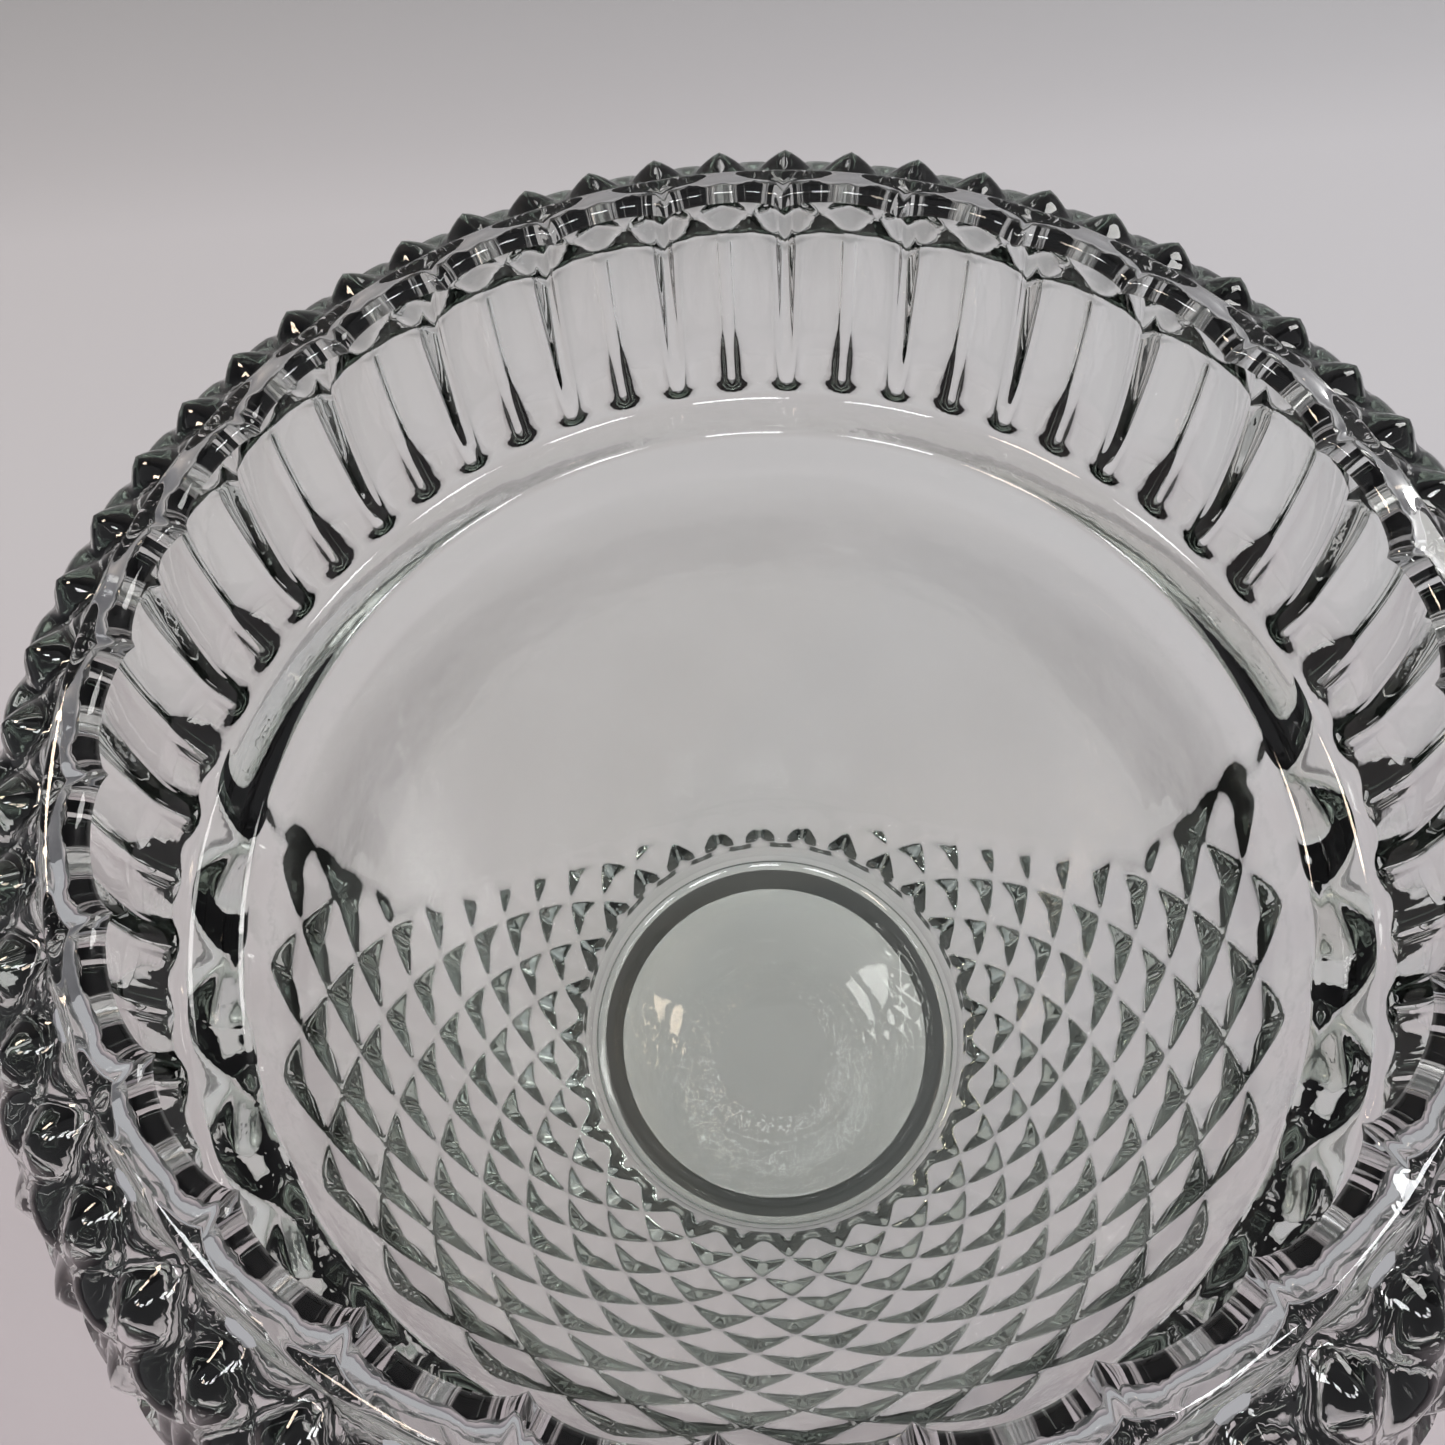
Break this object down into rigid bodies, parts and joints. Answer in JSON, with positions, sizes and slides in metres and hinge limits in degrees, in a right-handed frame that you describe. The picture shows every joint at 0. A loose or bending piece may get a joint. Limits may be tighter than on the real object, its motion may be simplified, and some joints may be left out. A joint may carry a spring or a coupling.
{
  "type": "mixing glass",
  "caption": "Bulbous one-piece glass for stirring drinks, with a fluted mouth, diamond-cut body, smooth oval panel and thick base",
  "frame": {"origin": "centre of the base, on the plane of the ring the glass stands on", "axes": "+Z is the axis of the glass with the mouth up; +Y is the side with the smooth oval panel; +X is to the right when that panel is on the far side"},
  "size_m": [0.1064, 0.1064, 0.135],
  "materials": {
    "clear_glass": "glossy pressed glass, colourless with a faint grey-green tint where thick"
  },
  "bodies": {
    "root": {"glass_body": "clear_glass"}
  },
  "joints": []
}
